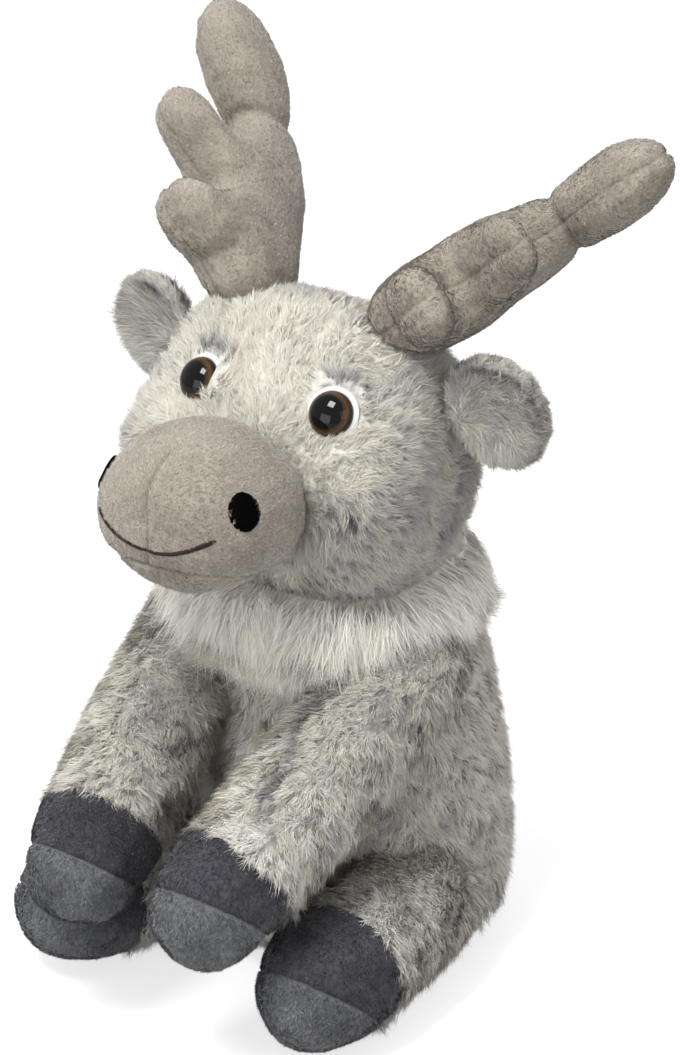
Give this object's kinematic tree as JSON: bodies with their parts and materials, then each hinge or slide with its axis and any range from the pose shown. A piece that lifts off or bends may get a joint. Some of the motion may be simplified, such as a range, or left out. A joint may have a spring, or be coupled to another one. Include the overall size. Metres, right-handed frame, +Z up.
{
  "type": "plush deer",
  "caption": "Sitting soft toy deer with stuffed antlers, round ears, a cream neck ruff and dark hooves; its head nods and its legs, ears and antlers flop.",
  "frame": {"origin": "middle of the flat seat under the body", "axes": "+Z up, the deer faces -Y, so its left side is +X"},
  "size_m": [0.1866, 0.1716, 0.2965],
  "materials": {
    "grey_fur": "long frosted pile, matt",
    "cream_fur": "long cream pile, matt",
    "taupe_pile": "short velvety pile",
    "dark_hoof_pile": "short velvety pile",
    "light_hoof_pile": "short fluffed pile",
    "stuffing": "polyester fibre",
    "pellet_cloth": "woven cotton",
    "black_thread": "satin stitch",
    "brown_thread": "satin stitch",
    "white_plastic": "matt",
    "brown_lens": "polished",
    "black_plastic": "polished",
    "washer_plastic": "matt"
  },
  "bodies": {
    "body": {"body_cover": "grey_fur", "body_stuffing": "stuffing", "pellet_bag": "pellet_cloth", "collar": "cream_fur"},
    "head": {"head_cover": "grey_fur", "head_stuffing": "stuffing", "muzzle_cover": "taupe_pile", "chin_panel": "taupe_pile", "muzzle_stuffing": "stuffing", "mouth_stitching": "brown_thread", "left_nostril": "black_thread", "left_eye_ring": "white_plastic", "left_eye_pupil": "black_plastic", "left_eye_lens": "brown_lens", "left_eye_washer": "washer_plastic", "right_nostril": "black_thread", "right_eye_ring": "white_plastic", "right_eye_pupil": "black_plastic", "right_eye_lens": "brown_lens", "right_eye_washer": "washer_plastic"},
    "left_ear": {"left_ear": "grey_fur"},
    "left_antler": {"left_antler_cover": "taupe_pile", "left_antler_stuffing": "stuffing"},
    "left_front_leg": {"left_front_leg_cover": "grey_fur", "left_front_leg_stuffing": "stuffing", "left_front_hoof_upper": "dark_hoof_pile", "left_front_hoof_sole": "light_hoof_pile"},
    "left_hind_leg": {"left_hind_leg_cover": "grey_fur", "left_hind_leg_stuffing": "stuffing", "left_hind_hoof_upper": "dark_hoof_pile", "left_hind_hoof_sole": "light_hoof_pile"},
    "right_ear": {"right_ear": "grey_fur"},
    "right_antler": {"right_antler_cover": "taupe_pile", "right_antler_stuffing": "stuffing"},
    "right_front_leg": {"right_front_leg_cover": "grey_fur", "right_front_leg_stuffing": "stuffing", "right_front_hoof_upper": "dark_hoof_pile", "right_front_hoof_sole": "light_hoof_pile"},
    "right_hind_leg": {"right_hind_leg_cover": "grey_fur", "right_hind_leg_stuffing": "stuffing", "right_hind_hoof_upper": "dark_hoof_pile", "right_hind_hoof_sole": "light_hoof_pile"}
  },
  "joints": [
    {"name": "head_nod", "type": "hinge", "parent": "body", "child": "head", "pos_m": [0, -0.0175, 0.1775], "axis": [1, 0, 0], "range_deg": [-12, 12], "stiffness_Nm_per_rad": 0.6},
    {"name": "left_ear_turn", "type": "hinge", "parent": "head", "child": "left_ear", "pos_m": [0.05281, -0.01066, 0.1953], "axis": [-0.2949, -0.1703, 0.9402], "range_deg": [-20, 20], "stiffness_Nm_per_rad": 0.02},
    {"name": "left_antler_swing", "type": "hinge", "parent": "head", "child": "left_antler", "pos_m": [0.0295, -0.0065, 0.22013], "axis": [-0.1725, 0.978, -0.1173], "range_deg": [-15, 15], "stiffness_Nm_per_rad": 0.2},
    {"name": "left_front_leg_lift", "type": "hinge", "parent": "body", "child": "left_front_leg", "pos_m": [0.04, -0.016, 0.11], "axis": [-1, 0, 0], "range_deg": [0, 18]},
    {"name": "left_hind_leg_splay", "type": "hinge", "parent": "body", "child": "left_hind_leg", "pos_m": [0.038, -0.014, 0.0279], "axis": [0, 0, 1], "range_deg": [0, 25]},
    {"name": "right_ear_turn", "type": "hinge", "parent": "head", "child": "right_ear", "pos_m": [-0.05281, -0.01066, 0.1953], "axis": [0.2949, -0.1703, 0.9402], "range_deg": [-20, 20], "stiffness_Nm_per_rad": 0.02},
    {"name": "right_antler_swing", "type": "hinge", "parent": "head", "child": "right_antler", "pos_m": [-0.0295, -0.0065, 0.22013], "axis": [0.1023, 0.9221, -0.3732], "range_deg": [-15, 15], "stiffness_Nm_per_rad": 0.2},
    {"name": "right_front_leg_lift", "type": "hinge", "parent": "body", "child": "right_front_leg", "pos_m": [-0.04, -0.016, 0.11], "axis": [-1, 0, 0], "range_deg": [0, 18]},
    {"name": "right_hind_leg_splay", "type": "hinge", "parent": "body", "child": "right_hind_leg", "pos_m": [-0.038, -0.014, 0.0279], "axis": [0, 0, -1], "range_deg": [0, 25]}
  ]
}
